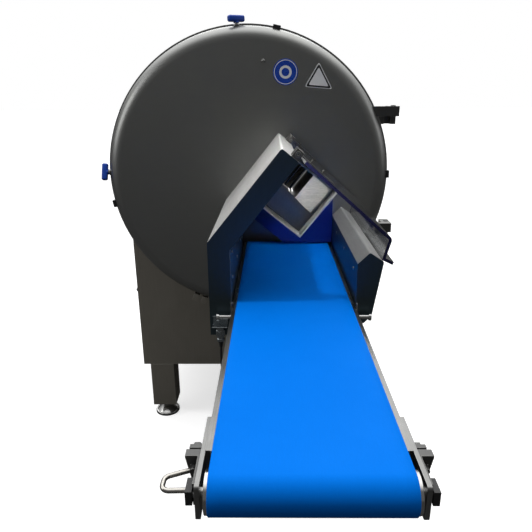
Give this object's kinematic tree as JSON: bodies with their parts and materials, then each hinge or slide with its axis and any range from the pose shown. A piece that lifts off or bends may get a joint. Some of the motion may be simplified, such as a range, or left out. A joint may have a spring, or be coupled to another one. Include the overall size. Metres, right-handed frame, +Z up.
{
  "type": "food portion cutter",
  "caption": "Food portion cutter: round blade housing on a legged steel cabinet, swing-away cover with discharge hood, clear flap and blue belt conveyor, covered infeed trough with pusher.",
  "frame": {"origin": "centre of the machine's overall footprint, on the floor", "axes": "+Y from the discharge end of the conveyor towards the infeed, +X to the right seen from the discharge end, +Z up"},
  "size_m": [1.0645, 2.3407, 1.6065],
  "materials": {
    "stainless": "fine brushed, satin",
    "bright_steel": "turned and polished",
    "fasteners": "bright",
    "blade_steel": "ground",
    "blue_belt": "matt, fine texture",
    "blue_plastic": "smooth",
    "knob_plastic": "moulded, satin",
    "clear_sheet": "clear, polished edges",
    "black_plastic": "moulded",
    "white_plastic": "milled",
    "sign_plate": "printed film",
    "seal_rubber": "extruded",
    "drive_rubber": "ribbed",
    "motor_paint": "semi-gloss",
    "cable_jacket": "smooth"
  },
  "bodies": {
    "machine": {"blade_housing": "stainless", "housing_seal": "seal_rubber", "hinge_brackets": "stainless", "cover_rests": "stainless", "infeed_mouth": "stainless", "product_guide": "bright_steel", "cabinet_shell": "stainless", "cabinet_legs": "stainless", "levelling_feet": "bright_steel", "service_panel": "stainless", "cabinet_screws": "fasteners", "drive_housing": "stainless", "spindle_housing": "stainless", "shaft_bearings": "bright_steel", "blade_motor": "motor_paint", "drive_belt": "drive_rubber", "infeed_trough": "stainless", "trough_supports": "stainless", "lid_hinge": "stainless", "pusher_rail": "bright_steel"},
    "blade_rotor": {"blade_shaft": "bright_steel", "sickle_blade": "blade_steel", "blade_clamp_disc": "bright_steel", "clamp_bolts": "fasteners", "blade_pulley": "bright_steel"},
    "motor_rotor": {"motor_shaft": "bright_steel"},
    "cover": {"cover_shell": "stainless", "cover_hinge_arms": "stainless", "safety_magnets": "black_plastic", "safety_signs": "sign_plate", "hood_shell": "stainless", "hood_liner": "stainless", "hood_screws": "fasteners", "guard_shell": "stainless", "outfeed_chute": "stainless", "deflector_plate": "blue_plastic", "flap_hinge_blocks": "stainless", "conveyor_cradle": "stainless", "conveyor_rails": "stainless", "nose_plates": "stainless", "slider_bed": "stainless", "conveyor_crossbars": "bright_steel", "conveyor_belt": "blue_belt", "locking_studs": "fasteners", "take_up_bolts": "fasteners", "cable_connectors": "black_plastic", "motor_cable": "cable_jacket"},
    "flap": {"clear_flap": "clear_sheet", "flap_straps": "fasteners"},
    "drive_roller_body": {"drive_roller": "bright_steel"},
    "take_up": {"take_up_carriers": "stainless", "axle_blocks": "black_plastic", "front_axle": "bright_steel", "pull_handle": "bright_steel"},
    "front_roller_body": {"front_roller": "bright_steel"},
    "knob_top": {"clamp_knob_top": "knob_plastic"},
    "knob_left": {"clamp_knob_left": "knob_plastic"},
    "lid": {"infeed_lid": "stainless"},
    "pusher": {"pusher_plate": "white_plastic", "pusher_carriage": "stainless"}
  },
  "joints": [
    {"name": "cover_swing", "type": "hinge", "parent": "machine", "child": "cover", "pos_m": [0.519, 0.1654, 1.074], "axis": [0, 0, 1], "range_deg": [0, 110]},
    {"name": "guard_flap", "type": "hinge", "parent": "cover", "child": "flap", "pos_m": [0.1505, -0.2096, 1.213], "axis": [0, -1, 0], "range_deg": [0, 100]},
    {"name": "blade_spin", "type": "hinge", "parent": "machine", "child": "blade_rotor", "pos_m": [0, 0.1654, 1.074], "axis": [0, -1, 0], "continuous": true},
    {"name": "motor_spin", "type": "hinge", "parent": "machine", "child": "motor_rotor", "pos_m": [-0.3, 0.4404, 1.074], "axis": [0, -1, 0], "continuous": true},
    {"name": "drive_roller_spin", "type": "hinge", "parent": "cover", "child": "drive_roller_body", "pos_m": [0.1432, 0.1084, 0.7962], "axis": [1, 0, 0], "continuous": true},
    {"name": "take_up_slide", "type": "slide", "parent": "cover", "child": "take_up", "axis": [0, 1, 0], "range_m": [0, 0.012]},
    {"name": "front_roller_spin", "type": "hinge", "parent": "take_up", "child": "front_roller_body", "pos_m": [0.1432, -1.1366, 0.7962], "axis": [1, 0, 0], "continuous": true},
    {"name": "knob_top_turn", "type": "hinge", "parent": "cover", "child": "knob_top", "pos_m": [-0.02965, 0.1284, 1.57312], "axis": [-0.0593, 0, 0.9982], "continuous": true},
    {"name": "knob_left_turn", "type": "hinge", "parent": "cover", "child": "knob_left", "pos_m": [-0.49975, 0.1284, 1.0897], "axis": [-0.9995, 0, 0.0314], "continuous": true},
    {"name": "lid_swing", "type": "hinge", "parent": "machine", "child": "lid", "pos_m": [0.31705, 0.8304, 1.00656], "axis": [0, 1, 0], "range_deg": [0, 110]},
    {"name": "pusher_slide", "type": "slide", "parent": "machine", "child": "pusher", "axis": [0, -1, 0], "range_m": [0, 0.76]}
  ],
  "couplings": [
    {"joint": "motor_spin", "follows": "blade_spin", "ratio": 1.5556},
    {"joint": "front_roller_spin", "follows": "drive_roller_spin", "ratio": 1}
  ]
}
